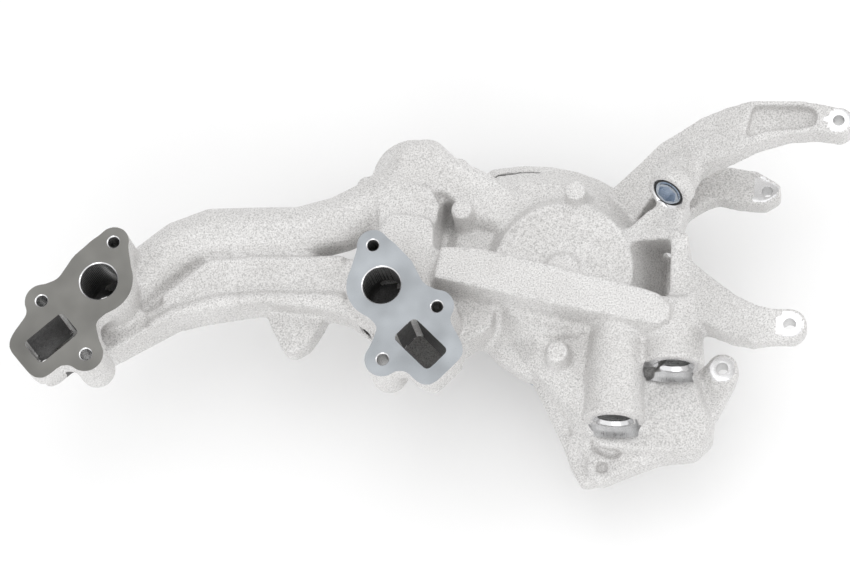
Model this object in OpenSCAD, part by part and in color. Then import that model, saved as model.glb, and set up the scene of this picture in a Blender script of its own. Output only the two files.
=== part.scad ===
// Engine coolant manifold with water pump housing and accessory arms.
// Frame: x along the manifold, y up on the engine, block faces on z = 0,
// everything else below z = 0. The origin is midway between the two upper
// block bolt holes.

/* [Block flanges] */
// distance from the centre line to an upper block bolt
bolt_top_x = 99; // [90:0.5:110]
// distance from the centre line to an outer block bolt
bolt_out_x = 150; // [140:0.5:160]
// height of the outer block bolts
bolt_out_y = -47.5; // [-60:0.5:-40]
// distance from the centre line to a lower block bolt
bolt_low_x = 112; // [105:0.5:120]
// height of the lower block bolts
bolt_low_y = -89; // [-100:0.5:-80]
// diameter of the block bolt holes
bolt_d = 8.8; // [6:0.1:12]
// diameter of the round coolant ports
round_port_d = 28.6; // [20:0.2:34]
// long side of the rectangular coolant ports
rect_port_l = 37; // [28:0.5:44]
// short side of the rectangular coolant ports
rect_port_w = 22; // [14:0.5:28]
// thickness of the flange plates
flange_t = 18; // [10:0.5:24]

/* [Passages] */
// outer radius of the upper crossover tube
cross_r = 22; // [18:0.5:26]
// casting wall thickness
wall = 5; // [4:0.5:8]

/* [Pump] */
// pump axis, along the manifold
pump_x = 237; // [230:0.5:245]
// pump axis, height
pump_y = -1; // [-10:0.5:10]
// radius of the raised disc behind the pump
disc_r = 55; // [45:0.5:62]
// radius of the pump housing rim
rim_r = 80; // [70:0.5:90]
// radius of the impeller
impeller_r = 54; // [45:0.5:60]
// number of impeller vanes
vanes = 6; // [5:1:8]
// radius of the drive hub
hub_r = 32; // [25:0.5:40]

/* [Thermostat] */
// thermostat axis, along the manifold
therm_x = 113; // [105:0.5:125]
// thermostat axis, height
therm_y = 85; // [75:0.5:92]
// outer radius of the thermostat flange
therm_r = 27; // [22:0.5:30]

/* [Ports and arms] */
// bore radius of the two side ports
orb_r = 12.6; // [8:0.1:14]
// bolt hole diameter in the accessory arms
arm_bolt_d = 8.6; // [6:0.1:12]

/* [Hidden] */
PX = pump_x;
PY = pump_y;
TX = therm_x;
TY = therm_y;
FZ = -98;
TZ = -96;
$fn = 64;

// ---- outline helpers ----
function unit(v) = v / norm(v);

function corner(a, b, c, r, n) =
  let (u = unit(a - b), v = unit(c - b), h = acos(u * v) / 2)
  let (o = b + unit(u + v) * r / sin(h), s = b + u * r / tan(h), e = b + v * r / tan(h))
  let (a0 = atan2(s[1] - o[1], s[0] - o[0]), a1 = atan2(e[1] - o[1], e[0] - o[0]))
  let (d = (a1 - a0 + 900) % 360 - 180)
  [for (i = [0:n]) o + r * [cos(a0 + d * i / n), sin(a0 + d * i / n)]];

// points are [x, y, corner radius]
function rounded(p, n = 3) = [
  for (i = [0:len(p) - 1])
    let (a = p[(i + len(p) - 1) % len(p)], b = p[i], c = p[(i + 1) % len(p)])
    each (b[2] == 0 ? [[b[0], b[1]]] : corner([a[0], a[1]], [b[0], b[1]], [c[0], c[1]], b[2], n))];

function shrink(p, c, s) = [for (q = p) [c[0] + (q[0] - c[0]) * s, c[1] + (q[1] - c[1]) * s]];

module slab(p, z0, z1, n = 3) {
  translate([0, 0, z0])
    linear_extrude(z1 - z0)
      polygon(rounded(p, n));
}

function mean(p) = [for (i = [0:2]) [for (q = p) 1] * [for (q = p) q[i]] / len(p)];

// closed skin through sections of equal length, each anticlockwise seen from the end
module skin(s) {
  n = len(s[0]);
  m = len(s);
  side = [for (i = [0:m - 2]) for (k = [0:n - 1])
    let (a = i * n + k, b = i * n + (k + 1) % n)
    each [[a, a + n, b + n], [a, b + n, b]]];
  first = [for (k = [0:n - 1]) [m * n, k, (k + 1) % n]];
  last = [for (k = [0:n - 1]) [m * n + 1, (m - 1) * n + (k + 1) % n, (m - 1) * n + k]];
  polyhedron(concat([for (q = s) each q], [mean(s[0]), mean(s[m - 1])]), concat(first, last, side));
}

// drafted block between two outlines with the same number of points
module loft(a, z0, b, z1) {
  skin([[for (q = a) [q[0], q[1], z0]], [for (q = b) [q[0], q[1], z1]]]);
}

// round or oval tube along points [x, y, z, radius across, radius along z]
function tangent(p, i) =
  let (a = p[max(i - 1, 0)], b = p[min(i + 1, len(p) - 1)])
  unit([b[0] - a[0], b[1] - a[1], b[2] - a[2]]);

function ring_at(p, i, n, grow) =
  let (t = tangent(p, i), u = unit(cross([0, 0, 1], t)), v = cross(t, u), q = p[i])
  [for (k = [0:n - 1])
    [q[0], q[1], q[2]] + u * (q[3] + grow) * cos(k * 360 / n + 180 / n)
      + v * (q[4] + grow) * sin(k * 360 / n + 180 / n)];

module tube(p, n = 16, grow = 0) {
  skin([for (i = [0:len(p) - 1]) ring_at(p, i, n, grow)]);
}

module rod(x, y, r, z0, z1) {
  translate([x, y, z0])
    cylinder(r = r, h = z1 - z0);
}

module cone(x, y, ra, rb, z0, z1) {
  translate([x, y, z0])
    cylinder(r1 = ra, r2 = rb, h = z1 - z0);
}

// ---- casting: block flanges ----
bolts = [[bolt_top_x, 0, 12], [bolt_out_x, bolt_out_y, 13], [bolt_low_x, bolt_low_y, 13.5]];
port_c = [107.5, -31.3];
rect_c = [139.6, -76.8];
rect_a = -43;

module rect_column(grow, r, z0, z1) {
  l = rect_port_l / 2 + grow;
  w = rect_port_w / 2 + grow;
  translate([rect_c[0], rect_c[1], 0])
    rotate([0, 0, rect_a])
      slab([[l, w, r], [-l, w, r], [-l, -w, r], [l, -w, r]], z0, z1);
}

module flange() {
  slab([[89, 4, 4], [104, 9.5, 3], [115, 2, 8], [129, -12, 6], [139, -30, 4], [157, -38, 4], [161, -60, 5],
    [172, -78, 8], [150, -104, 10], [128, -98, 3], [104, -97, 3], [102, -80, 4], [107, -64, 4],
    [88, -46, 8], [83, -22, 8]], -flange_t, 0);
  for (b = bolts)
    rod(b[0], b[1], b[2], -44, 0);
  rod(port_c[0], port_c[1], 26.5, -flange_t, 0);
  rect_column(11, 11, -flange_t, 0);
  rect_column(6, 8, -40, -2);
  skin([[for (q = shrink(port_bend(0), rect_c, 1.38)) [q[0], q[1], -36]],
    [for (q = port_bend(1)) [q[0], q[1], -62]]]);
  cone(port_c[0], port_c[1], 21, 24, -62, -12);
}

module flange_holes(deep) {
  for (b = bolts)
    rod(b[0], b[1], bolt_d / 2, -60, 1);
  rod(port_c[0], port_c[1], round_port_d / 2, deep, 1);
  rect_column(0, 4, -44, 1);
  // bend from the rectangular port into the channel
  skin([[for (q = port_bend(0)) [q[0], q[1], -38]], [for (q = port_bend(1)) [q[0], q[1], -64]]]);
}

// outline of the rectangular port at the top and bottom of its bend, clockwise seen from the front
function port_bend(k) = [for (q = [[1, -1], [-1, -1], [-1, 1], [1, 1]])
  let (l = (1 - 0.2 * k) * rect_port_l / 2 * q[0], w = (1 - 0.2 * k) * rect_port_w / 2 * q[1])
  [rect_c[0] - k * 8 + l * cos(rect_a) - w * sin(rect_a),
    rect_c[1] + k * 12 + l * sin(rect_a) + w * cos(rect_a)]];

// ---- casting: crossover tubes ----
upper = [[-109, -38, -60, 20, 21], [-106, -28, -60, 22, 22], [-96, -16, -60, 22, 22],
  [-81, -1, -60, 22, 22],
  [-60, 17, -60, 22, 22], [-36, 27, -60, 22, 22], [-6, 28, -60, 22, 22], [32, 29, -60, 22, 22],
  [63, 38, -60, 22, 22], [92, 54, -60, 22, 22], [112, 70, -60, 22, 22]];

// lower channel, left end first, anticlockwise
channel = [[-150, -42, 5], [-165, -58, 6], [-157, -78, 6], [-137, -77, 6], [-120, -79, 6], [-102, -69, 10],
  [-80, -56, 12], [-60, -44, 12], [-35, -38, 12], [5, -31, 0], [51, -34, 0], [72, -38, 10], [92, -52, 8],
  [104, -74, 6], [140, -82, 6], [160, -64, 6], [186, -46, 6], [186, 0, 6], [66, 6, 0], [-2, 3.6, 10],
  [-32, 1, 14], [-62, -28, 14], [-77, -38.5, 8], [-98, -42, 8], [-124, -38, 6]];

module crossovers() {
  tube(upper, 16);
  slab(channel, -82, -46, 2);
  // raised edges of the flat channel face
  slab([[-66, -31, 1.5], [-33, -2, 8], [-3, 0, 8], [70, 2, 2], [70, 7, 2], [-3, 5, 8], [-35, 2, 8],
    [-70, -28, 1.5]], -50, -42, 2);
  slab([[-76, -54, 2], [-56, -42, 8], [-24, -32, 8], [9, -29, 2], [72, -29, 2], [72, -24, 2], [9, -24, 2],
    [-26, -27, 8], [-58, -37, 8], [-78, -49, 2]], -50, -42, 2);
  // hanging lug
  slab([[4, -20, 0], [54, -20, 0], [53, -40, 4], [43, -58, 11], [27, -68, 9], [12, -42, 6]], -86, -66, 3);
}

// ---- casting: thermostat housing ----
function disc(c, r) = [for (k = [0:23]) c + r * [cos(k * 15 + 5), sin(k * 15 + 5)]];

module thermostat_body() {
  rod(TX, TY, 31.5, TZ, -79);
  loft(disc([115.5, 82], 31), -80, disc([118.2, 78.5], 27.5), -58);
  // two ears for the neck bolts
  for (s = [-1, 1])
    translate([TX, TY, TZ])
      rotate([0, 0, 12.4])
        translate([s * 36.5, 0, 0])
          cylinder(r = 8, h = 18);
  translate([TX, TY, TZ])
    rotate([0, 0, 12.4])
      translate([-38, -7, 0])
        cube([76, 14, 16]);
  // passage block above the right round port
  slab([[92, -40, 6], [132, -46, 6], [141, -18, 6], [139, 33, 9], [104, 37.5, 9], [96, 20, 8]],
    -70, -29, 3);
  slab([[88, -30, 6], [136, -30, 6], [143, 50, 6], [126, 66, 4], [96, 62, 6]], -86, -50, 2);
  slab([[97, 22, 3], [138, 22, 3], [141, 46, 5], [130, 60, 4], [104, 62, 5], [96, 52, 5]], -60, -37, 2);
}

// bulb from the thermostat dome to the top of the pump
bulb = rounded([[95, 80, 10], [110, 62, 14], [146, 55, 12], [166, 36, 8], [200, 26, 6], [214, 60, 6],
  [176, 79, 8], [150, 91, 8], [134, 106, 14], [106, 104, 14]], 2);

module bulb_body() {
  c = [140, 74];
  skin([[for (q = bulb) [q[0], q[1], -84]], [for (q = bulb) [q[0], q[1], -60 - 0.06 * (q[0] - 110)]],
    [for (q = shrink(bulb, c, 0.95)) [q[0], q[1], -46 - 0.12 * (q[0] - 110)]],
    [for (q = shrink(bulb, c, 0.74)) [q[0], q[1], -38 - 0.16 * (q[0] - 110)]]]);
}

// ---- casting: pump housing ----
function spiral_r(t) = 79 + 34 * pow((t + 20) / 144, 3.2);
spiral = concat(
  [for (t = [-20:12:124]) [PX + spiral_r(t) * cos(t), PY + spiral_r(t) * sin(t)]],
  [[160, 80], [146, 60], [128, 40], [122, 0], [128, -42], [160, -50]],
  [for (t = [218:13:335]) [PX + 79 * cos(t), PY + 79 * sin(t)]]);

module pump_body() {
  translate([0, 0, FZ])
    linear_extrude(16)
      polygon(spiral);
  loft(spiral, -82, shrink(spiral, [PX, PY], 0.76), -58);
  cone(PX, PY, 64, disc_r + 1, -62, -50);
  cone(PX, PY, disc_r, disc_r - 2, -52, -44);
  cone(PX, PY - 2, 15, 12, -46, -38);
  // rosette bosses
  cone(159.5, 40.8, 9.5, 8, -70, -30);
  cone(245, 57, 10, 8.2, -60, -30);
  cone(237, -71, 12, 8.2, -80, -30);
  skin([[[226, -84, -80], [246, -84, -80], [246, -60, -80], [226, -60, -80]],
    [[231, -76, -34], [243, -76, -34], [243, -62, -34], [231, -62, -34]]]);
}

// diagonal duct with its drafted flanks
duct_top = [[142, -18], [226, -35], [313, -52], [320, -46], [320, -36], [311, -28], [300, -24], [240, -9],
  [177, 6], [147, 7]];
duct_low = [[150, -26], [222, -43], [300, -62], [326, -54], [328, -34], [316, -20], [302, -16], [242, -2],
  [178, 12], [146, 14]];

module duct() {
  loft(duct_low, -62, duct_top, -20);
  slab([[96, -34, 4], [147, -17.5, 0], [152, 6, 0], [130, 14, 8], [96, 14, 8]], -60, -34, 2);
}

// ---- casting: inlet chamber and side ports ----
module inlet_body() {
  slab([[343, -84, 6], [352, -108, 8], [351, -124, 10], [338, -137, 10], [312, -140, 6], [274, -156, 4],
    [255, -160, 4], [246, -146, 5], [240, -130, 6], [221, -92, 6], [205, -62, 4], [290, -40, 4],
      [330, -36, 4],
    [342, -70, 6]], -96, -82);
  loft([[300, -30], [206, -62], [224, -92], [262, -138], [300, -140], [336, -139], [349, -130], [353, -112],
    [346, -92], [330, -50]], -82.5, [[300, -34], [212, -62], [232, -90], [270, -132],
      [304, -135], [334, -134],
    [346, -126], [349, -112], [342, -96], [326, -54]], -64);
  // back of the suction passage
  loft([[196, -50], [206, -72], [234, -92], [262, -112], [300, -94], [330, -66], [334, -34], [290, -28],
    [220, -30]], -64, [[214, -46], [222, -64], [242, -80], [266, -96], [294, -84], [316, -62], [320, -38],
    [286, -32], [228, -34]], -50);
  // ears of the inlet flange
  rod(357, -67, 12, -96, -78);
  slab([[345, -64, 0], [368, -64, 0], [367, -76, 2], [353, -106, 4], [338, -100, 4]], -96, -80, 2);
  rod(270, -146, 11.5, -96, -76);
  slab([[258, -138, 2], [277, -153, 2], [312, -139, 2], [312, -120, 2], [242, -120, 2]], -96, -77, 2);
  // side port bosses, mouths downwards
  translate([279.5, -46, -50])
    rotate([90, 0, 0])
      cylinder(r1 = 19, r2 = 23.2, h = 72);
  translate([322.5, -26, -50])
    rotate([90, 0, 0])
      cylinder(r1 = 19, r2 = 23.2, h = 48.5);
}

// ---- casting: accessory arms and plug boss ----
// section [front upper, front lower] in x, y, z and thickness
function bar(u, l, t) = [u, l, [l[0], l[1], l[2] - t], [u[0], u[1], u[2] - t]];
plug_c = [314.5, 54.3, -30];
plug_a = unit([0.43, 0.81, -0.40]);
plug_tilt = acos(plug_a[2]);
plug_turn = atan2(plug_a[1], plug_a[0]);

module on_plug() {
  translate(plug_c)
    rotate([0, plug_tilt, plug_turn])
      children();
}

module arms() {
  // upper arm
  skin([bar([262, 66, -70], [286, 40, -66], 27), bar([290, 91, -62], [300, 60, -58], 30),
    bar([306, 103, -50], [315, 66, -48], 30), bar([323, 109, -38], [330, 72, -36], 30),
    bar([339, 115, -26], [343, 77, -25], 29), bar([358, 117.5, -12], [363, 80, -11], 27),
    bar([377, 119, -2], [381, 85, -2], 24), bar([414, 119, -2], [406, 93, -2], 24),
    bar([431, 116, -2], [426, 94, -2], 24), bar([441, 113.5, -2], [440, 92.5, -2], 24)]);
  rod(441.5, 103, 11, -26, -2);
  // middle arm
  slab([[290, 30, 0], [320, 44, 8], [328, 56, 6], [340, 64, 6], [350, 68, 4], [367, 64, 6], [386, 63, 4],
    [397, 70, 4], [397, 80, 4], [379, 91, 6], [352, 95, 6], [330, 84, 6], [290, 70, 0]], -95, -76);
  // lower arm
  skin([bar([322, 22, -40], [318, -44, -42], 40), bar([336, 2, -34], [338, -42, -34], 36),
    bar([352, -14, -24], [352, -52, -26], 30), bar([369, -30, -14], [366, -62, -17], 24),
    bar([385, -40, -7], [382, -69, -8], 19), bar([396, -43.5, -4], [398, -68.5, -4], 17),
    bar([408, -43.2, -4], [409, -68.4, -4], 17)]);
  rod(409, -56, 12.5, -21, -4);
  // plug boss and its column
  on_plug()
    cylinder(r = 17.3, h = 13);
  on_plug()
    translate([0, 0, 12])
      cylinder(r1 = 16, r2 = 14, h = 18);
  skin([bar([272, 22, -50], [322, 22, -37], 34), bar([300, 46, -40], [331, 58, -40], 34)]);
  slab([[318, -42, 0], [331, -42, 0], [331, 26, 0], [318, 26, 0]], -84, -37);
}

// ---- casting: hollow spaces ----
inner = [[-107.5, -33, -60, 16, 16], [-104, -27, -60, 17, 17], [-95, -17, -60, 17, 17],
  [-81, -2, -60, 17, 17],
  [-60, 16.5, -60, 17, 17], [-36, 26.5, -60, 17, 17], [-6, 28, -60, 17, 17], [32, 29, -60, 17, 17],
  [63, 38, -60, 17, 17], [90, 52.5, -60, 17, 17], [106, 66, -61, 15, 15]];

module hollows() {
  flange_holes(-46);
  mirror([1, 0, 0])
    flange_holes(-60);
  tube(inner, 16);
  rod(-107.5, -31.3, 16.5, -74, -50);
  // lower channel
  slab([[-148, -56, 4], [-159, -61, 4], [-153, -73, 4], [-120, -73.5, 4], [-104, -64, 8], [-80, -51, 8],
    [-58, -39, 8], [-33, -32, 8], [5, -26, 0], [72, -32, 4], [90, -48, 6], [106, -68, 4], [138, -76, 4],
    [156, -60, 4], [176, -44, 4], [176, -36, 4], [140, -22, 2], [66, -12, 2], [-3, -3, 8], [-28, -4, 8],
    [-58, -32, 10], [-78, -46, 8], [-130, -56, 4]], -77, -52, 2);
  // right round port up to the thermostat
  slab([[99, -36, 6], [124, -36, 6], [130, -14, 8], [131, 24, 8], [106, 29, 6], [101, 14, 8]], -47, -36, 2);
  slab([[97, -9, 4], [130, -4, 4], [131, 30, 4], [132, 56, 4], [104, 60, 4], [98, 20, 4]], -78, -46, 2);
  rod(port_c[0], port_c[1], 16, -47, -30);
  rod(TX, TY, 24.5, TZ - 1, TZ + 12);
  rod(TX + 1.2, TY - 1.6, 21.3, TZ + 11, -65);
  rod(120, 77, 18.5, -67, -48);
  rod(TX, TY, therm_r + 1, TZ - 1, TZ + 5);
  // diagonal duct down to the suction chamber
  tube([[120, 0, -42, 8, 8], [160, -6, -42, 8, 8], [240, -22, -42, 8, 8], [296, -36, -42, 8, 8],
    [306, -43, -50, 8, 8], [308, -56, -64, 8, 8]], 12);
  // volute, open to the front inside the rim
  translate([0, 0, -92])
    linear_extrude(18)
      polygon(volute);
  rod(PX, PY, 65, FZ - 1, -74);
  rod(PX, PY, 22, -80, -60);
  // suction space behind the volute and the inlet chamber
  rod(PX, PY, 40, -68, -56);
  slab([[222, -36, 6], [262, -28, 6], [304, -50, 6], [318, -62, 6], [304, -82, 8], [284, -90, 8],
    [268, -84, 8]],
    -68, -56, 2);
  rod(288, -80, 9, FZ - 1, -57);
  slab([[300, -72, 8], [328, -80, 8], [341, -100, 8], [343, -116, 8], [333, -129, 8], [308, -129, 6],
    [284, -112, 8], [276, -92, 8], [282, -76, 6]], -97, -78, 3);
  // side port bores
  translate([279.5, -119, -50])
    rotate([-90, 0, 0])
      cylinder(r = orb_r, h = 28);
  translate([279.5, -100, -50])
    rotate([-90, 0, 0])
      cylinder(r = 9, h = 22);
  translate([322.5, -75.5, -50])
    rotate([-90, 0, 0])
      cylinder(r = orb_r, h = 24);
  // spot face clearances in front of the side ports
  translate([279.5, -118, -50])
    rotate([90, 0, 0])
      cylinder(r = 22.7, h = 8);
  translate([322.5, -74.5, -50])
    rotate([90, 0, 0])
      cylinder(r = 22.7, h = 8);
}

volute = concat(
  [for (t = [-20:12:124]) [PX + (spiral_r(t) - 9) * cos(t), PY + (spiral_r(t) - 9) * sin(t)]],
  [[168, 74], [155, 57], [139, 40], [139, -30], [160, -38]],
  [for (t = [218:13:335]) [PX + 69 * cos(t), PY + 69 * sin(t)]]);

module drillings() {
  // inlet flange and arm bolt holes
  rod(357, -67, 4.6, FZ - 1, -60);
  rod(270, -146, 4.6, FZ - 1, -60);
  rod(441.5, 103, arm_bolt_d / 2, -40, 1);
  rod(387, 74, arm_bolt_d / 2, FZ - 1, -60);
  rod(409, -56, arm_bolt_d / 2 + 0.4, -40, 1);
  // blind tapped hole in the hanging lug
  rod(32, -52, 4.2, -87, -70);
  // neck bolts
  for (s = [-1, 1])
    translate([TX, TY, TZ - 1])
      rotate([0, 0, 12.4])
        translate([s * 36.5, 0, 0])
          cylinder(r = 2.7, h = 30);
  // pump cover bolts and dowels
  for (k = [0:5])
    rod(PX + 71 * cos(k * 60 + 10), PY + 71 * sin(k * 60 + 10), 2.6, FZ - 1, -84);
  for (k = [0, 1])
    rod(PX + 71 * cos(k * 180 + 40), PY + 71 * sin(k * 180 + 40), 3, FZ - 1, -92);
  // plug thread, counterbore and tip
  on_plug()
    translate([0, 0, -1])
      cylinder(r = 10.4, h = 15);
  on_plug()
    translate([0, 0, 13])
      cylinder(r = 7, h = 12);
  on_plug()
    translate([0, 0, -0.5])
      cylinder(r1 = 13.7, r2 = 12, h = 2.2);
  // pocket in the upper arm
  slab([[378, 115, 3], [420, 114.5, 5], [426, 109, 4], [425, 100, 4], [412, 97, 5], [392, 96, 4],
    [372, 90, 3]],
    -13, 5, 3);
  // pocket in the lower inlet ear
  slab([[256, -124, 3], [292, -130, 4], [278, -140, 4], [264, -135, 4]], -88, -70, 2);
}

module manifold_casting() {
  color([0.76, 0.75, 0.73])
    difference() {
      union() {
        flange();
        mirror([1, 0, 0])
          flange();
        crossovers();
        thermostat_body();
        bulb_body();
        pump_body();
        duct();
        inlet_body();
        arms();
      }
      hollows();
      drillings();
      // machined block plane and front planes
      translate([-200, -200, 0])
        cube([700, 400, 20]);
    }
}

// ---- pump cover with bearing snout ----
module pump_cover() {
  color([0.70, 0.70, 0.69])
    translate([PX, PY, 0])
      difference() {
        union() {
          translate([0, 0, -108])
            cylinder(r = 77, h = 10, $fn = 96);
          translate([0, 0, -98.5])
            cylinder(r = 64.65, h = 6.5);
          translate([0, 0, -140])
            cylinder(r1 = 26, r2 = 29, h = 33);
          for (k = [0:7])
            rotate([0, 0, k * 45 + 22.5])
              translate([24, -3, -124])
                rotate([0, 0, 0])
                  skin([[[0, 0, 0], [6, 0, 0], [6, 6, 0], [0, 6, 0]], [[0, 0, 17], [40, 0, 17],
                    [40, 6, 17], [0, 6, 17]]]);
        }
        translate([0, 0, -141])
          cylinder(r = 19.03, h = 27);
        translate([0, 0, -115])
          cylinder(r = 16.5, h = 4);
        translate([0, 0, -112])
          cylinder(r = 17.53, h = 22);
        translate([0, 0, -137.6])
          cylinder(r = 20.2, h = 1.5);
        // o-ring groove
        translate([0, 0, -96.6])
          difference() {
            cylinder(r = 68, h = 3);
            translate([0, 0, -1])
              cylinder(r = 62.2, h = 5);
          }
        for (k = [0:5])
          rotate([0, 0, k * 60 + 10])
            translate([71, 0, -109])
              cylinder(r = 3.3, h = 12);
        for (k = [0, 1])
          rotate([0, 0, k * 180 + 40])
            translate([71, 0, -105])
              cylinder(r = 3, h = 8);
        // weep hole
        rotate([0, 0, -90])
          translate([0, 0, -113])
            rotate([0, 90, 0])
              cylinder(r = 2, h = 40);
      }
}

module cover_oring() {
  color([0.08, 0.08, 0.08])
    translate([PX, PY, -95.1])
      rotate_extrude($fn = 96)
        translate([63.5, 0])
          circle(r = 1.2, $fn = 20);
}

module hex_bolt(len, r, af, head, flange_r) {
  translate([0, 0, -head])
    cylinder(r = af / sqrt(3), h = head, $fn = 6);
  translate([0, 0, -1.6])
    cylinder(r = flange_r, h = 1.6);
  cylinder(r = r, h = len);
}

module cover_bolts() {
  color([0.55, 0.56, 0.58])
    for (k = [0:5])
      translate([PX + 71 * cos(k * 60 + 10), PY + 71 * sin(k * 60 + 10), -108])
        hex_bolt(22, 2.3, 8, 5.5, 5.7);
}

module cover_dowels() {
  color([0.60, 0.60, 0.62])
    for (k = [0, 1])
      rod(PX + 71 * cos(k * 180 + 40), PY + 71 * sin(k * 180 + 40), 2.97, -104.8, -92.2);
}

// ---- bearing ----
module bearing_outer_race() {
  color([0.62, 0.62, 0.64])
    translate([PX, PY, 0])
      rotate_extrude()
        difference() {
          polygon([[14.6, -135.8], [18.6, -135.8], [19, -135.4], [19, -114.4], [18.6, -114], [14.6, -114]]);
          for (z = [-131, -119])
            translate([12.2, z])
              circle(r = 4, $fn = 32);
        }
}

module bearing_snap_ring() {
  color([0.30, 0.30, 0.32])
    translate([PX, PY, -137.4])
      difference() {
        cylinder(r = 20, h = 1.2);
        translate([0, 0, -1])
          cylinder(r = 16.4, h = 4);
        translate([0, -3, -1])
          cube([30, 6, 4]);
      }
}

module bearing_balls() {
  color([0.72, 0.72, 0.74])
    for (z = [-131, -119])
      for (k = [0:7])
        translate([PX + 12.2 * cos(k * 45), PY + 12.2 * sin(k * 45), z])
          sphere(r = 3.95, $fn = 32);
}

module bearing_cage() {
  color([0.60, 0.50, 0.25])
    translate([PX, PY, 0])
      difference() {
        translate([0, 0, -135.4])
          cylinder(r = 13.4, h = 20.8);
        translate([0, 0, -136])
          cylinder(r = 11, h = 22);
        for (z = [-131, -119])
          for (k = [0:7])
            rotate([0, 0, k * 45])
              translate([9, 0, z])
                rotate([0, 90, 0])
                  cylinder(r = 4.02, h = 8);
      }
}

module pump_shaft() {
  color([0.66, 0.66, 0.68])
    translate([PX, PY, 0])
      rotate_extrude()
        difference() {
          polygon([[0, -149.8], [7.4, -149.8], [8, -149.2], [8, -138.5], [10, -137.5],
            [10, -112.5], [8, -111.5],
            [8, -77], [7.4, -76.4], [0, -76.4]]);
          for (z = [-131, -119])
            translate([12.2, z])
              circle(r = 4, $fn = 32);
        }
}

// ---- impeller and seal ----
module impeller() {
  color([0.68, 0.62, 0.48])
    translate([PX, PY, 0])
      difference() {
        union() {
          translate([0, 0, -91])
            cylinder(r = impeller_r, h = 3, $fn = 96);
          translate([0, 0, -91])
            cylinder(r1 = 18, r2 = 12, h = 14);
          for (k = [0:vanes - 1])
            rotate([0, 0, k * 360 / vanes])
              intersection() {
                translate([-16, -37.5, -88.5])
                  difference() {
                    cylinder(r = 50, h = 12);
                    translate([0, 0, -1])
                      cylinder(r = 46.8, h = 14);
                  }
                translate([0, 0, -90])
                  linear_extrude(16)
                    polygon([[10, 0], [60, -26], [60, 60], [0, 60], [-4, 12]]);
                translate([0, 0, -90])
                  cylinder(r = impeller_r - 0.5, h = 16);
              }
        }
        translate([0, 0, -99])
          cylinder(r = 8.02, h = 40);
      }
}

module seal_case() {
  color([0.72, 0.58, 0.28])
    translate([PX, PY, 0])
      rotate_extrude()
        polygon([[12.2, -111.8], [17.5, -111.8], [17.5, -98.9], [16.4, -98.9], [16.4, -110.6],
          [12.2, -110.6]]);
}

module seal_bellows() {
  color([0.06, 0.06, 0.06])
    translate([PX, PY, 0])
      rotate_extrude()
        polygon([[12.4, -110.4], [16.1, -110.4], [16.1, -108], [13.6, -107], [16.1, -105.6], [13.6, -104.2],
          [15.4, -103], [15.4, -100.9], [12.4, -100.9]]);
}

module seal_carbon() {
  color([0.14, 0.14, 0.15])
    translate([PX, PY, 0])
      rotate_extrude()
        polygon([[10.2, -100.8], [15, -100.8], [15, -98], [13, -97.05], [10.6, -97.05], [10.2, -98]]);
}

module seal_seat() {
  color([0.88, 0.88, 0.85])
    translate([PX, PY, 0])
      rotate_extrude()
        polygon([[8.02, -97], [16, -97], [16.6, -96.4], [16.6, -92.2], [8.02, -92.2]]);
}

module drive_hub() {
  color([0.58, 0.58, 0.60])
    translate([PX, PY, 0])
      difference() {
        union() {
          translate([0, 0, -150])
            cylinder(r = hub_r, h = 7);
          translate([0, 0, -144])
            cylinder(r = 14, h = 3.5);
          translate([0, 0, -154])
            cylinder(r = 11, h = 5);
        }
        translate([0, 0, -149.9])
          cylinder(r = 8.02, h = 30);
        for (k = [0:3])
          rotate([0, 0, k * 90 + 45])
            translate([23, 0, -155])
              cylinder(r = 3.4, h = 20);
      }
}

// ---- thermostat ----
module thermostat_frame() {
  color([0.74, 0.66, 0.42])
    translate([TX, TY, TZ])
      difference() {
        union() {
          rotate_extrude()
            polygon([[17, 1.8], [26, 1.8], [26, 3], [19.5, 3], [17, 6]]);
          rotate([0, 0, 35])
            for (s = [-1, 1])
              translate([s * 18.7 - 1.1, -3.5, 2.4])
                cube([2.2, 7, 26]);
          rotate([0, 0, 35])
            translate([-19.8, -3.5, 27])
              cube([39.6, 7, 1.6]);
          translate([-17.6, -3, 1.8])
            cube([35.2, 6, 1.6]);
        }
        translate([0, 0, 20])
          cylinder(r = 6.4, h = 12);
        translate([0, 21.5, -2])
          cylinder(r = 1.6, h = 10);
      }
}

module thermostat_gasket() {
  color([0.07, 0.07, 0.07])
    translate([TX, TY, TZ])
      rotate_extrude()
        polygon([[26.05, 0.6], [27.8, 0.6], [27.8, 4.8], [25, 4.8], [25, 3.1], [26.05, 3.1]]);
}

module thermostat_valve() {
  color([0.72, 0.56, 0.26])
    translate([TX, TY, TZ])
      rotate_extrude()
        polygon([[6.02, 6.1], [17.2, 6.1], [15.9, 8.4], [14.5, 9.4], [6.02, 9.4]]);
}

module thermostat_capsule() {
  color([0.78, 0.60, 0.24])
    translate([TX, TY, TZ])
      rotate_extrude()
        polygon([[2, 5.5], [6, 5.5], [6, 29], [5, 30.4], [0, 30.4], [0, 22], [2, 22]]);
}

module thermostat_piston() {
  color([0.80, 0.80, 0.82])
    translate([TX, TY, TZ + 3.4])
      cylinder(r = 1.94, h = 16.5);
}

module thermostat_spring() {
  turns = 4;
  steps = 48;
  color([0.60, 0.60, 0.62])
    translate([TX, TY, TZ + 10.5])
      skin([for (i = [0:steps])
        let (a = i * turns * 360 / steps, h = i * 15.4 / steps)
        [for (k = [0:5]) let (c = 10 + 0.9 * cos(k * 60), w = 0.9 * sin(k * 60))
          [c * cos(a), c * sin(a), h + w]]]);
}

module jiggle_pin() {
  color([0.75, 0.60, 0.30])
    translate([TX, TY + 21.5, TZ])
      rotate_extrude()
        polygon([[0, 0.15], [2.6, 0.15], [2.6, 0.85], [1.2, 0.85], [1.2, 4.6], [2.4, 5.4],
          [2.4, 6.6], [0, 6.6]]);
}

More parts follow.
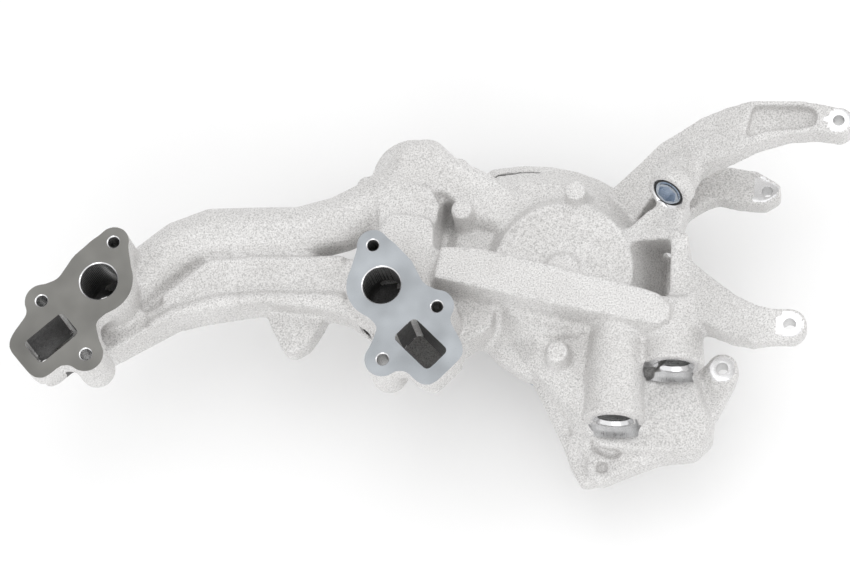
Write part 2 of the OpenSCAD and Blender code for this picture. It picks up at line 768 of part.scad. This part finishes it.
// ---- outlet neck ----
module outlet_neck() {
  color([0.73, 0.72, 0.70])
    translate([TX, TY, TZ])
      difference() {
        union() {
          rotate_extrude()
            polygon([[0, -52], [17.8, -52], [18.8, -50], [18.8, -30], [25, -12],
              [25, -9], [34, -9], [34, 0], [0, 0]]);
          rotate([0, 0, 12.4])
            slab([[44.5, -8, 7.5], [44.5, 8, 7.5], [-44.5, 8, 7.5], [-44.5, -8, 7.5]], -8.5, -0.5, 5);
        }
        rotate_extrude()
          polygon([[0, -53], [15.5, -53], [15.5, -10], [23, 0.5], [0, 0.5]]);
        for (s = [-1, 1])
          rotate([0, 0, 12.4])
            translate([s * 36.5, 0, -10])
              cylinder(r = 3.3, h = 12);
      }
}

module neck_bolts() {
  color([0.55, 0.56, 0.58])
    translate([TX, TY, TZ - 9])
      rotate([0, 0, 12.4])
        for (s = [-1, 1])
          translate([s * 36.5, 0, 0])
            hex_bolt(24, 2.6, 8, 5.5, 6.4);
}

// ---- port plug ----
module port_plug() {
  color([0.66, 0.70, 0.76])
    on_plug()
      difference() {
        union() {
          translate([0, 0, 1.2])
            cylinder(r = 10.3, h = 11.5);
          translate([0, 0, -0.6])
            cylinder(r = 9.2, h = 3);
        }
        translate([0, 0, -1])
          cylinder(r = 7 / cos(30), h = 8, $fn = 6);
      }
}

module plug_seal() {
  color([0.10, 0.10, 0.10])
    on_plug()
      rotate_extrude()
        translate([11.2, 1])
          circle(r = 0.7, $fn = 16);
}

manifold_casting();
pump_cover();
cover_oring();
cover_bolts();
cover_dowels();
bearing_outer_race();
bearing_balls();
bearing_cage();
bearing_snap_ring();
pump_shaft();
impeller();
seal_case();
seal_bellows();
seal_carbon();
seal_seat();
drive_hub();
thermostat_frame();
thermostat_gasket();
thermostat_valve();
thermostat_capsule();
thermostat_piston();
thermostat_spring();
jiggle_pin();
outlet_neck();
neck_bolts();
port_plug();
plug_seal();
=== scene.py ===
import math

import bmesh
import bpy
import numpy as np
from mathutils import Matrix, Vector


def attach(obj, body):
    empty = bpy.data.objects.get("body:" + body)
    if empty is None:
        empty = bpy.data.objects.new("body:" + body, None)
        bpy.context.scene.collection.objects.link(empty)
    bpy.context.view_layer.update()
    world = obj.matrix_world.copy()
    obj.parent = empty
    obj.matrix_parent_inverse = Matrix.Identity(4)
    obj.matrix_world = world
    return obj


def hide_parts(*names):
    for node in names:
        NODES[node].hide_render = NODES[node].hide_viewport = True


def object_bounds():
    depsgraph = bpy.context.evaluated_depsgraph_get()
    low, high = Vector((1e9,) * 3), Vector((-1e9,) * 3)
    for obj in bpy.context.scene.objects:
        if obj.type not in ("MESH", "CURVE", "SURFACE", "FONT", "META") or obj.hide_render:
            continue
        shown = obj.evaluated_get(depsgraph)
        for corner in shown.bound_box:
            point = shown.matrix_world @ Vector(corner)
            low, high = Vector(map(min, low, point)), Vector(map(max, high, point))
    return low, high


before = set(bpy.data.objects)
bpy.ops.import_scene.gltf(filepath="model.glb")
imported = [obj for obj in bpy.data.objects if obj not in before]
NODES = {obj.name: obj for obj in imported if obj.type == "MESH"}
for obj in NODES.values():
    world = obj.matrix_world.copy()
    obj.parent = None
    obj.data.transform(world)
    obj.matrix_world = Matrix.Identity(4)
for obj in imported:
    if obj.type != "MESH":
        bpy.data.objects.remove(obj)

import openvdb as vdb
from mathutils import Matrix, Vector

cad_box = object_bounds()
MM = 0.001
# axis of the pump, axis and seat of the thermostat, and the pump cover face, in mm
PX, PY = 237.0, -1.0
TX, TY, TZ = 113.0, 85.0, -96.0
FZ = -98.0
# how far flat stretches of a skin may be joined into larger faces
ADAPT = 0.02
# half width of a level set's band, in voxels
BAND = 6.0
# faces that meet at a larger angle than this stay sharp
SHARP_DEG = 32


# ---------------------------------------------------------------- materials
def new_material(name):
    m = bpy.data.materials.new(name)
    m.use_nodes = True
    nt = m.node_tree
    nt.nodes.clear()
    out = nt.nodes.new("ShaderNodeOutputMaterial")
    bsdf = nt.nodes.new("ShaderNodeBsdfPrincipled")
    nt.links.new(bsdf.outputs[0], out.inputs[0])
    return m, nt, bsdf


def bump(nt, height, strength, distance, below=None):
    n = nt.nodes.new("ShaderNodeBump")
    n.inputs["Strength"].default_value = strength
    n.inputs["Distance"].default_value = distance
    nt.links.new(height, n.inputs["Height"])
    if below is not None:
        nt.links.new(below, n.inputs["Normal"])
    return n.outputs[0]


def noise(nt, scale, detail=2.0, rough=0.5, vector=None):
    n = nt.nodes.new("ShaderNodeTexNoise")
    n.inputs["Scale"].default_value = scale
    n.inputs["Detail"].default_value = detail
    n.inputs["Roughness"].default_value = rough
    if vector is not None:
        nt.links.new(vector, n.inputs["Vector"])
    return n.outputs[0]


def ramp(nt, value, stops):
    r = nt.nodes.new("ShaderNodeValToRGB")
    el = r.color_ramp.elements
    while len(el) < len(stops):
        el.new(0.5)
    for e, (p, c) in zip(el, stops):
        e.position = p
        e.color = (c[0], c[1], c[2], 1.0)
    nt.links.new(value, r.inputs[0])
    return r.outputs[0]


def grey(v, warm=0.0):
    return (v * (1 + warm), v, v * (1 - warm))


def even(v):
    return (v, v, v)


def cast_material(name, base):
    """Sand cast, shot blasted aluminium: matte, warm grey, speckled grain."""
    m, nt, b = new_material(name)
    co = nt.nodes.new("ShaderNodeTexCoord").outputs["Object"]
    fine = noise(nt, 900, 2.5, 0.62, co)
    mid = noise(nt, 260, 3.0, 0.55, co)
    broad = noise(nt, 22, 3.0, 0.5, co)
    col = ramp(nt, fine, [(0.30, grey(base * 0.62, 0.012)), (0.5, grey(base, 0.010)),
                          (0.70, grey(base * 1.24, 0.006))])
    tone = ramp(nt, broad, [(0.3, grey(0.92, 0.004)), (0.7, grey(1.03, 0.0))])
    mix = nt.nodes.new("ShaderNodeMix")
    mix.data_type = "RGBA"
    mix.blend_type = "MULTIPLY"
    mix.inputs[0].default_value = 1.0
    nt.links.new(col, mix.inputs[6])
    nt.links.new(tone, mix.inputs[7])
    nt.links.new(mix.outputs[2], b.inputs["Base Color"])
    rr = ramp(nt, mid, [(0.3, even(0.52)), (0.7, even(0.66))])
    nt.links.new(rr, b.inputs["Roughness"])
    b.inputs["Metallic"].default_value = 0.55
    grains = bump(nt, fine, 0.8, 0.00045)
    nt.links.new(bump(nt, mid, 0.35, 0.0009, grains), b.inputs["Normal"])
    return m


def milled_material(name, tint, rough, stretch=(1, 1, 1), scale=600):
    """Machined aluminium with faint cutter marks."""
    m, nt, b = new_material(name)
    co = nt.nodes.new("ShaderNodeTexCoord").outputs["Object"]
    mp = nt.nodes.new("ShaderNodeMapping")
    mp.inputs["Scale"].default_value = stretch
    nt.links.new(co, mp.inputs[0])
    lines = noise(nt, scale, 2.0, 0.5, mp.outputs[0])
    cloud = noise(nt, 30, 2.0, 0.5, co)
    lo = tuple(c * 0.80 for c in tint)
    hi = tuple(min(1.0, c * 1.16) for c in tint)
    col = ramp(nt, cloud, [(0.3, lo), (0.7, hi)])
    nt.links.new(col, b.inputs["Base Color"])
    rr = ramp(nt, lines, [(0.3, even(rough * 0.8)), (0.7, even(rough * 1.25))])
    nt.links.new(rr, b.inputs["Roughness"])
    b.inputs["Metallic"].default_value = 0.9
    nt.links.new(bump(nt, lines, 0.12, 0.0002), b.inputs["Normal"])
    return m


def worn_material(name, lo, hi, metallic, rough, scale=180, relief=0.1):
    m, nt, b = new_material(name)
    co = nt.nodes.new("ShaderNodeTexCoord").outputs["Object"]
    n = noise(nt, scale, 3.0, 0.55, co)
    nt.links.new(ramp(nt, n, [(0.3, lo), (0.7, hi)]), b.inputs["Base Color"])
    rr = ramp(nt, n, [(0.3, even(rough * 0.85)), (0.7, even(min(1, rough * 1.15)))])
    nt.links.new(rr, b.inputs["Roughness"])
    b.inputs["Metallic"].default_value = metallic
    nt.links.new(bump(nt, n, relief, 0.0002), b.inputs["Normal"])
    return m


CAST = cast_material("cast_aluminium", 0.70)
# the two block faces are one milled aluminium: the right one's dark bluish tint is painted reflection,
# the left one's darker tint is painted shade
FACE_R_PAINTED_REFLECTION = milled_material("milled_face_right_painted_reflection", (0.345, 0.365, 0.385), 0.34, (1, 6, 1))
FACE_L_PAINTED_SHADE = milled_material("milled_face_left_painted_shade", (0.215, 0.212, 0.200), 0.36, (1, 6, 1))
BORE = milled_material("bored_aluminium", (0.62, 0.62, 0.62), 0.30, (1, 1, 14), 300)
# milled aluminium painted brighter than the bores: a painted highlight on chamfers, spot faces and
# skimmed pads
EDGE_PAINTED_HIGHLIGHT = milled_material("bright_edge_painted_highlight", (0.85, 0.85, 0.86), 0.22)
# a dark copy of the cast aluminium: painted shade inside the passages
SHADE_INSIDE = cast_material("cast_inside_painted_shade", 0.13)
RUBBER = worn_material("black_rubber", (0.012, 0.012, 0.013), (0.03, 0.03, 0.03), 0.0, 0.62)
ZINC = worn_material("zinc_steel", (0.46, 0.52, 0.60), (0.62, 0.67, 0.74), 0.95, 0.28, 120)
STEEL = worn_material("ground_steel", (0.52, 0.52, 0.54), (0.66, 0.66, 0.67), 1.0, 0.22, 240)
BRASS = worn_material("brass", (0.62, 0.45, 0.20), (0.76, 0.58, 0.30), 0.95, 0.32, 150)
IRON = worn_material("cast_iron", (0.10, 0.095, 0.09), (0.20, 0.19, 0.18), 0.6, 0.62, 320, 0.4)
CARBON = worn_material("carbon", (0.015, 0.015, 0.017), (0.04, 0.04, 0.042), 0.1, 0.45)
CERAMIC = worn_material("ceramic", (0.74, 0.74, 0.71), (0.84, 0.84, 0.80), 0.0, 0.30)


# ---------------------------------------------------------------- level set skin
def mesh_arrays(o):
    """Vertices in mm in the row frame and triangles of an object."""
    dg = bpy.context.evaluated_depsgraph_get()
    ev = o.evaluated_get(dg)
    me = ev.to_mesh()
    me.calc_loop_triangles()
    v = np.empty(len(me.vertices) * 3, np.float64)
    me.vertices.foreach_get("co", v)
    v = v.reshape(-1, 3)
    t = np.empty(len(me.loop_triangles) * 3, np.int32)
    me.loop_triangles.foreach_get("vertices", t)
    mw = np.array(o.matrix_world)
    v = v @ mw[:3, :3].T + mw[:3, 3]
    ev.to_mesh_clear()
    return v * 1000.0, t.reshape(-1, 3)


def level(v, f, size):
    """A level set of voxels of the given size, in mm, from triangles or quads."""
    f = np.asarray(f)
    kind = "triangles" if f.shape[1] == 3 else "quads"
    return vdb.FloatGrid.createLevelSetFromPolygons(
        v.astype(np.float32), transform=vdb.createLinearTransform(voxelSize=size), halfWidth=BAND,
        **{kind: f.astype(np.uint32)})


def shell(grid, iso, size):
    """The level set moved outwards by iso mm and rebuilt."""
    pts, quads = grid.convertToQuads(isovalue=iso)
    return level(np.asarray(pts), np.asarray(quads), size)


def box_tris(lo, hi):
    v = np.array([[x, y, z] for x in (lo[0], hi[0]) for y in (lo[1], hi[1])
                  for z in (lo[2], hi[2])], float)
    q = [(0, 1, 3, 2), (4, 6, 7, 5), (0, 4, 5, 1), (2, 3, 7, 6), (0, 2, 6, 4), (1, 5, 7, 3)]
    t = []
    for a, b, c, d in q:
        t += [(a, b, c), (a, c, d)]
    return v, np.array(t)


def rod_tris(a, b, ra, rb=None, n=48):
    """A closed round rod or cone from point a to point b, in mm."""
    rb = ra if rb is None else rb
    a = np.array(a, float)
    b = np.array(b, float)
    t = (b - a) / np.linalg.norm(b - a)
    h = np.array([1.0, 0, 0]) if abs(t[0]) < 0.9 else np.array([0, 1.0, 0])
    u = np.cross(t, h)
    u /= np.linalg.norm(u)
    w = np.cross(t, u)
    ang = np.arange(n) * 2 * math.pi / n
    c, s = np.cos(ang)[:, None], np.sin(ang)[:, None]
    v = np.vstack([a + ra * (u * c + w * s), b + rb * (u * c + w * s), [a], [b]])
    f = []
    for i in range(n):
        j = (i + 1) % n
        f += [(i, j, n + j), (i, n + j, n + i), (2 * n, j, i), (2 * n + 1, n + i, n + j)]
    return v, np.array(f)


def prism_tris(poly, z0, z1):
    """A closed prism over a convex outline, anticlockwise."""
    n = len(poly)
    p = np.array(poly, float)
    c = p.mean(0)
    v = np.vstack([np.c_[p, np.full(n, z0)], np.c_[p, np.full(n, z1)],
                   [[c[0], c[1], z0]], [[c[0], c[1], z1]]])
    f = []
    for i in range(n):
        j = (i + 1) % n
        f += [(i, j, n + j), (i, n + j, n + i), (2 * n, j, i), (2 * n + 1, n + i, n + j)]
    return v, np.array(f)


def merge(parts):
    vs, fs, base = [], [], 0
    for v, f in parts:
        vs.append(v)
        fs.append(f + base)
        base += len(v)
    return np.vstack(vs), np.vstack(fs)


def new_mesh(name, v_mm, faces):
    me = bpy.data.meshes.new(name)
    points = [tuple(p) for p in np.asarray(v_mm) * MM]
    me.from_pydata(points, [], [tuple(int(i) for i in q) for q in faces])
    me.validate()
    o = bpy.data.objects.new(name, me)
    bpy.context.scene.collection.objects.link(o)
    return o


def apply_modifiers(o):
    dg = bpy.context.evaluated_depsgraph_get()
    me = bpy.data.meshes.new_from_object(o.evaluated_get(dg))
    old = o.data
    o.modifiers.clear()
    o.data = me
    bpy.data.meshes.remove(old)


def combine(o, other, operation):
    """Boolean of o with another object, which is used up."""
    md = o.modifiers.new("boolean", "BOOLEAN")
    md.operation = operation
    md.solver = "MANIFOLD"
    md.object = other
    apply_modifiers(o)
    bpy.data.objects.remove(other)


def cut(o, parts):
    """Takes closed rods, boxes and prisms out of o."""
    for v, f in parts:
        combine(o, new_mesh("cutter", v, f), "DIFFERENCE")


def rounded_rect(c, l, w, r, ang, n=6):
    pts = []
    for sx, sy, a0 in ((1, 1, 0), (-1, 1, 90), (-1, -1, 180), (1, -1, 270)):
        for k in range(n + 1):
            a = math.radians(a0 + 90.0 * k / n)
            pts.append((sx * (l / 2 - r) + r * math.cos(a), sy * (w / 2 - r) + r * math.sin(a)))
    ca, sa = math.cos(math.radians(ang)), math.sin(math.radians(ang))
    return [(c[0] + x * ca - y * sa, c[1] + x * sa + y * ca) for x, y in pts]


def finish_skin(o):
    """Smooth shading with sharp machined edges, and the cast material."""
    me = o.data
    me.polygons.foreach_set("use_smooth", [True] * len(me.polygons))
    me.set_sharp_from_angle(angle=math.radians(SHARP_DEG))
    me.materials.clear()
    me.materials.append(CAST)


def sculpt(name, v, f, fills, size, close_r, open_r):
    """Blends the inner corners with radius close_r and rounds the outer edges with radius open_r,
    on voxels of the given size, all in mm. Fills keep holes from being blended."""
    g = level(*merge([(v, f)] + fills), size)
    g = shell(g, close_r, size)
    g = shell(g, -close_r - open_r, size)
    p, t, q = g.convertToPolygons(open_r, ADAPT)
    faces = [tuple(r) for r in np.asarray(t)] + [tuple(r) for r in np.asarray(q)]
    o = new_mesh(name, np.asarray(p, float), faces)
    # the level set's faces point inwards, so they are turned
    me = o.data
    bm = bmesh.new()
    bm.from_mesh(me)
    bmesh.ops.recalc_face_normals(bm, faces=bm.faces)
    bm.to_mesh(me)
    bm.free()
    return o


# machined features of the casting, in mm: centres first, then radii, then the span along the axis
BOLTS = [(sx * x, y) for sx in (1, -1) for x, y in ((99, 0), (150, -47.5), (112, -89))]
BOLT_R = 4.4
LUG_HOLE = (32, -52)
ROUND_PORTS = [(sx * 107.5, -31.3, 14.3) for sx in (1, -1)]
RECT_PORTS = [(sx * 139.6, -76.8, -43 * sx) for sx in (1, -1)]
ARM_HOLES = [(441.5, 103, 4.3, -26, -2), (387, 74, 4.3, -95, -76), (409, -56, 4.7, -21, -4)]
INLET_HOLES = [(357, -67, 4.6, -96, -78), (270, -146, 4.6, -96, -88)]
SIDE_PORTS = [(279.5, -118, -91), (322.5, -74.5, -51.5)]  # x, mouth, end of the thread
COVER_SCREWS, COVER_DOWELS = (
    [(PX + 71 * math.cos(math.radians(a)), PY + 71 * math.sin(math.radians(a))) for a in angles]
    for angles in (range(10, 370, 60), (40, 220)))
ROSETTES = [(159.5, 40.8, 8.0), (245, 57, 8.2), (237, -71, 8.2)]
SIDE_Z = -50
EAR_A = math.radians(12.4)
NECK_EARS = [(TX + s * 36.5 * math.cos(EAR_A), TY + s * 36.5 * math.sin(EAR_A)) for s in (-1, 1)]
ORB_R = 12.6
SPOT_R, SPOT_DEPTH = 22.7, 7.5
PADS = [(441.5, 103, 9.5), (387, 74, 13.0), (409, -56, 10.5), (357, -67, 10.5)]
PLUG_C = np.array([314.5, 54.3, -30.0])
PLUG_A = np.array([0.43, 0.81, -0.40])
PLUG_A = PLUG_A / np.linalg.norm(PLUG_A)


def drill(x, y, z0, z1, r, r1=None, n=48):
    """A rod or cone along z, for filling or cutting a hole."""
    return rod_tris((x, y, z0), (x, y, z1), r, r1, n)


def side(x, y0, y1, r, r1=None, n=48):
    """A rod or cone along the axis of a side port, from y0 to y1."""
    return rod_tris((x, y0, SIDE_Z), (x, y1, SIDE_Z), r, r1, n)


def plug(d):
    return tuple(PLUG_C + PLUG_A * d)


def fills_of_casting():
    """Rods that keep the small holes open for drilling, and two webs between neighbouring walls."""
    fills = [drill(x, y, -43, 3, 5.0) for x, y in BOLTS]
    fills += [drill(x, y, z0 + 1, z1 - 1, r + 0.6) for x, y, r, z0, z1 in ARM_HOLES + INLET_HOLES]
    fills.append(drill(*LUG_HOLE, -85.5, -69, 4.8))
    fills.append(rod_tris(plug(0.5), plug(24), 11.0))
    # web between the upper tube and the flat channel
    web = [(-98, -46), (-80, -48), (-50, -32), (-26, -6), (-26, 8), (-60, 4), (-88, -18)]
    fills.append(prism_tris(web, -66, -54))
    # land between the thermostat passage and the bulb
    land = [(96, 24), (139, 24), (142, 46), (134, 60), (104, 66), (94, 54)]
    fills.append(prism_tris(land, -60, -37))
    fills += [drill(x, y, -95, -79, 3.2) for x, y in NECK_EARS]
    return fills


def cuts_of_casting():
    """The machining, in the order of the real one: planes first, then holes."""
    cuts = [box_tris((-220, -200, 0), (480, 200, 30)), box_tris((-220, -200, -140), (480, 200, FZ))]
    for x, y in BOLTS:
        cuts.append(drill(x, y, -70, 3, BOLT_R))
        cuts.append(drill(x, y, -0.7, 0.6, BOLT_R, BOLT_R + 1.3))
    for x, y, r in ROUND_PORTS:
        cuts.append(drill(x, y, -40, 3, r + 0.05, n=72))
        cuts.append(drill(x, y, -0.8, 0.5, r, r + 1.3, n=72))
    for x, y, a in RECT_PORTS:
        cuts.append(prism_tris(rounded_rect((x, y), 37, 22, 4, a), -38, 3))
    cuts += [drill(x, y, z0 - 6, z1 + 6, r) for x, y, r, z0, z1 in ARM_HOLES + INLET_HOLES]
    cuts += [drill(x, y, -99, -68, 2.7) for x, y in NECK_EARS]
    cuts.append(drill(*LUG_HOLE, -90, -70, 4.2))
    # spot faces of the side ports, their bores, countersinks and thread
    for x, y0, y1 in SIDE_PORTS:
        cuts.append(side(x, y0, y0 - SPOT_DEPTH, SPOT_R, n=72))
        cuts.append(side(x, y0 - 1, y1, ORB_R, n=72))
        cuts.append(side(x, y0 + 3.2, y0 - 0.6, ORB_R, ORB_R + 2.6, n=72))
        for k in range(9):
            y = y0 + 5.0 + 1.6 * k
            cuts.append(side(x, y, y - 0.75, ORB_R + 0.62, ORB_R - 0.05, n=56))
    # bore, end of the bore and countersink of the plug boss
    cuts.append(rod_tris(plug(13), plug(-1), 10.4, n=64))
    cuts.append(rod_tris(plug(24), plug(12), 7.0))
    cuts.append(rod_tris(plug(2.0), plug(-0.6), 11.0, 13.9, n=64))
    # bore for the cover's spigot, and the cover's screw holes
    cuts.append(drill(PX, PY, FZ - 1, -75, 65.0, n=96))
    cuts += [drill(x, y, FZ - 1, -84, 2.6) for x, y in COVER_SCREWS]
    # six lobed relief cast on the boss tips
    for x, y, r in ROSETTES:
        for k in range(6):
            a = math.radians(60 * k + 20)
            cx, cy = x + 0.62 * r * math.cos(a), y + 0.62 * r * math.sin(a)
            cuts.append(drill(cx, cy, -30.6, -29, 0.12 * r, 0.30 * r, 20))
        cuts.append(drill(x, y, -30.5, -29, 0.14 * r, 0.30 * r, 20))
    return cuts


def casting():
    """The machined planes are drawn 4 mm proud before blending, so that their edges are cut sharp."""
    v, f = mesh_arrays(NODES["manifold_casting"])
    v[v[:, 2] > -0.01, 2] += 4.0
    v[v[:, 2] < FZ + 0.01, 2] -= 4.0
    o = sculpt("casting_skin", v, f, fills_of_casting(), 1.3, 3.0, 1.3)
    cut(o, cuts_of_casting())
    finish_skin(o)
    return o


CAST_MATS = [CAST, FACE_R_PAINTED_REFLECTION, FACE_L_PAINTED_SHADE, BORE, EDGE_PAINTED_HIGHLIGHT, SHADE_INSIDE]
IS_CAST, IS_RIGHT_PAINTED_REFLECTION, IS_LEFT_PAINTED_SHADE, IS_BORE, IS_EDGE_PAINTED_HIGHLIGHT, IS_SHADE_INSIDE = range(6)


def paint_casting(o):
    """Gives each face its material from where it lies: the finishes the machining left, with painted
    reflection on the right block face, painted shade on the left block face and inside the passages,
    and a painted highlight on chamfers and skimmed pads.
    """
    me = o.data
    me.materials.clear()
    for m in CAST_MATS:
        me.materials.append(m)
    n = len(me.polygons)
    c = np.empty(n * 3)
    w = np.empty(n * 3)
    me.polygons.foreach_get("center", c)
    me.polygons.foreach_get("normal", w)
    x, y, z = (c.reshape(-1, 3) / MM).T
    w = w.reshape(-1, 3)
    up = w[:, 2]
    idx = np.zeros(n, np.int32)

    def reach(px, py):
        return np.hypot(x - px, y - py)

    # block faces: painted reflection on the right one, painted shade on the left one
    face = (up > 0.999) & (np.abs(z) < 0.02)
    idx[face & (x > 0)] = IS_RIGHT_PAINTED_REFLECTION
    idx[face & (x < 0)] = IS_LEFT_PAINTED_SHADE
    idx[(up < -0.999) & (np.abs(z - FZ) < 0.02)] = IS_BORE
    wall = np.abs(up) < 0.05
    slope = (up > 0.2) & ~face
    # bores get the bored finish, and chamfer rims get the brighter finish that carries a painted
    # highlight
    for px, py, r in ROUND_PORTS:
        d = reach(px, py)
        idx[wall & (np.abs(d - r - 0.05) < 0.15) & (z > -15)] = IS_BORE
        idx[slope & (np.abs(d - r - 0.6) < 0.9) & (z > -0.85)] = IS_EDGE_PAINTED_HIGHLIGHT
    for px, py in BOLTS:
        d = reach(px, py)
        idx[wall & (np.abs(d - BOLT_R) < 0.12)] = IS_BORE
        idx[slope & (np.abs(d - 5.0) < 0.8) & (z > -0.75)] = IS_EDGE_PAINTED_HIGHLIGHT
    for px, py, r, _, _ in ARM_HOLES + INLET_HOLES:
        idx[wall & (np.abs(reach(px, py) - r) < 0.12)] = IS_BORE
    for px, y0, y1 in SIDE_PORTS:
        d = np.hypot(x - px, z - SIDE_Z)
        inside = (d < 23.3) & (y < y1 + 0.5) & (y > y0 - 0.1)
        idx[inside & (d < ORB_R + 0.8)] = IS_BORE
        idx[inside & (y < y0 + 3.3) & (d < ORB_R + 2.8) & (d > ORB_R - 0.1)] = IS_EDGE_PAINTED_HIGHLIGHT
        idx[(np.abs(d - SPOT_R) < 0.15) & (y > y0 - SPOT_DEPTH - 0.1) & (y < y0)] = IS_BORE
        mouth = (w[:, 1] < -0.999) & (np.abs(y - y0) < 0.02)
        idx[mouth & (d < SPOT_R + 0.1) & (d > ORB_R)] = IS_EDGE_PAINTED_HIGHLIGHT
    rel = np.stack([x, y, z], 1) - PLUG_C
    along = rel @ PLUG_A
    off = np.linalg.norm(rel - along[:, None] * PLUG_A, axis=1)
    idx[(off < 13.8) & (along > -1.2) & (along < 2.1)] = IS_EDGE_PAINTED_HIGHLIGHT
    # skimmed pads round the arm holes and the upper inlet ear, given the bright machined finish that
    # carries a painted highlight
    for px, py, r in PADS:
        idx[(idx == IS_CAST) & (reach(px, py) < r) & (up > 0.97)] = IS_EDGE_PAINTED_HIGHLIGHT
    # insides of the passages, in a dark copy of the cast material: painted shade
    painted_shade_mask = np.zeros(n, bool)
    for px, py, r in ROUND_PORTS:
        painted_shade_mask |= (reach(px, py) < 17) & (z < -15)
    for px, py, a in RECT_PORTS:
        painted_shade_mask |= (reach(px, py) < 19) & (z < -0.05) & (z > -70)
    idx[painted_shade_mask & (idx == IS_CAST) & (up > -0.9)] = IS_SHADE_INSIDE
    me.polygons.foreach_set("material_index", idx)
    me.update()


skin = casting()
paint_casting(skin)
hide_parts("manifold_casting")
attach(skin, "housing")


# ---------------------------------------------------------------- cover and neck
def cover():
    v, f = mesh_arrays(NODES["pump_cover"])
    v[v[:, 2] > -92.1, 2] += 3.0
    fills = [drill(x, y, -107, -99, 4.2) for x, y in COVER_SCREWS]
    fills += [drill(x, y, -107, -99, 4.0) for x, y in COVER_DOWELS]
    fills.append(drill(PX, PY, -139, -93, 20.5))
    o = sculpt("cover_skin", v, f, fills, 0.9, 2.0, 0.9)
    # the face is cut flat, and the spigot is put back at its turned size
    cut(o, [box_tris((140, -100, -92), (330, 100, -80)), drill(PX, PY, -98, -90, 90, n=96)])
    combine(o, new_mesh("cover_spigot", *drill(PX, PY, -98.2, -92, 64.9, n=96)), "UNION")
    bores = [drill(PX, PY, -141, -114, 19.03, n=72), drill(PX, PY, -116, -111, 16.5),
             drill(PX, PY, -112, -90, 17.53, n=72)]
    bores += [drill(x, y, -112, -90, 3.3) for x, y in COVER_SCREWS]
    bores += [drill(x, y, -105, -97, 3.0) for x, y in COVER_DOWELS]
    cut(o, bores)
    finish_skin(o)
    return o


def neck():
    v, f = mesh_arrays(NODES["outlet_neck"])
    v[v[:, 2] > TZ - 0.01, 2] += 3.0
    fills = [drill(x, y, TZ - 8, TZ - 1, 4.0) for x, y in NECK_EARS]
    o = sculpt("neck_skin", v, f, fills, 0.8, 1.6, 0.8)
    cut(o, [box_tris((40, 20, TZ), (180, 150, TZ + 12))]
        + [drill(x, y, TZ - 12, TZ + 3, 3.3) for x, y in NECK_EARS])
    finish_skin(o)
    return o


for make, name in ((cover, "pump_cover"), (neck, "outlet_neck")):
    piece = make()
    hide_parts(name)
    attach(piece, "housing")

# ---------------------------------------------------------------- other pieces
FINISH = {
    "cover_oring": RUBBER, "seal_bellows": RUBBER, "thermostat_gasket": RUBBER, "plug_seal": RUBBER,
    "cover_bolts": ZINC, "neck_bolts": ZINC, "port_plug": ZINC, "drive_hub": ZINC,
    "cover_dowels": STEEL, "bearing_outer_race": STEEL, "bearing_balls": STEEL, "pump_shaft": STEEL,
    "bearing_snap_ring": STEEL, "thermostat_piston": STEEL, "thermostat_spring": STEEL,
    "bearing_cage": BRASS, "seal_case": BRASS, "thermostat_frame": BRASS, "thermostat_valve": BRASS,
    "thermostat_capsule": BRASS, "jiggle_pin": BRASS, "impeller": IRON, "seal_carbon": CARBON,
    "seal_seat": CERAMIC, "manifold_casting": CAST, "pump_cover": CAST, "outlet_neck": CAST}
# width of the rounded edges of the turned and forged pieces, in mm
ROUNDED = {"cover_bolts": 0.35, "neck_bolts": 0.35, "port_plug": 0.4, "drive_hub": 0.5, "impeller": 0.5,
           "cover_dowels": 0.3, "thermostat_frame": 0.2, "bearing_snap_ring": 0.15}
for name, o in NODES.items():
    o.data.materials.clear()
    o.data.materials.append(FINISH[name])
    if name in ROUNDED:
        md = o.modifiers.new("edge", "BEVEL")
        md.width = ROUNDED[name] * MM
        md.segments = 2
        md.limit_method = "ANGLE"
        md.angle_limit = math.radians(50)

# ---------------------------------------------------------------- stage
low = cad_box[0][2]
floor_mat, nt, b = new_material("studio_floor")
tone = noise(nt, 3.0, 2.0)
white = ramp(nt, tone, [(0.3, (0.95, 0.95, 0.95)), (0.7, (0.97, 0.97, 0.97))])
nt.links.new(white, b.inputs["Base Color"])
b.inputs["Roughness"].default_value = 0.9
me = bpy.data.meshes.new("floor")
half = 6.0
corners = [(-half, -half, low), (half, -half, low), (half, half, low), (-half, half, low)]
me.from_pydata(corners, [], [(0, 1, 2, 3)])
floor = bpy.data.objects.new("floor", me)
bpy.context.scene.collection.objects.link(floor)
me.materials.append(floor_mat)

# the camera's axes in the frame of the part, the point it looks at and its distance, in metres
AIM = Vector((0.1308, -0.0087, -0.060))
RIGHT = Vector((0.9892, 0.0597, -0.1326))
UP = Vector((-0.0131, 0.9441, 0.3280))
BACK = RIGHT.cross(UP).normalized()
DISTANCE = 2.5


def area(name, pos, size, power):
    """A square area light aimed at the middle of the part; metres and watts."""
    d = bpy.data.lights.new(name, "AREA")
    d.energy = power
    d.size = size
    o = bpy.data.objects.new(name, d)
    bpy.context.scene.collection.objects.link(o)
    o.location = pos
    o.rotation_euler = (AIM - Vector(pos)).to_track_quat("-Z", "Y").to_euler()


area("key_above", (0.1, 0.6, 1.5), 1.2, 2.6)
area("side_right", (1.5, 0.2, 0.7), 0.9, 3.0)
area("side_left", (-1.3, 0.2, 0.8), 0.9, 0.4)
area("front_low", (0.0, -1.3, 0.8), 1.0, 4.0)

world = bpy.data.worlds.new("studio")
bpy.context.scene.world = world
world.use_nodes = True
world.node_tree.nodes["Background"].inputs[0].default_value = (1, 1, 1, 1)
world.node_tree.nodes["Background"].inputs[1].default_value = 0.95

cam = bpy.data.cameras.new("camera")
cam.lens = 139.4
cam.sensor_width = 36
cam.clip_start = 0.05
cam.clip_end = 50
eye = bpy.data.objects.new("camera", cam)
bpy.context.scene.collection.objects.link(eye)
m = Matrix((RIGHT, UP.normalized(), BACK)).transposed().to_4x4()
m.translation = AIM + BACK * DISTANCE
eye.matrix_world = m
bpy.context.scene.camera = eye
bpy.context.scene.view_settings.view_transform = "Standard"
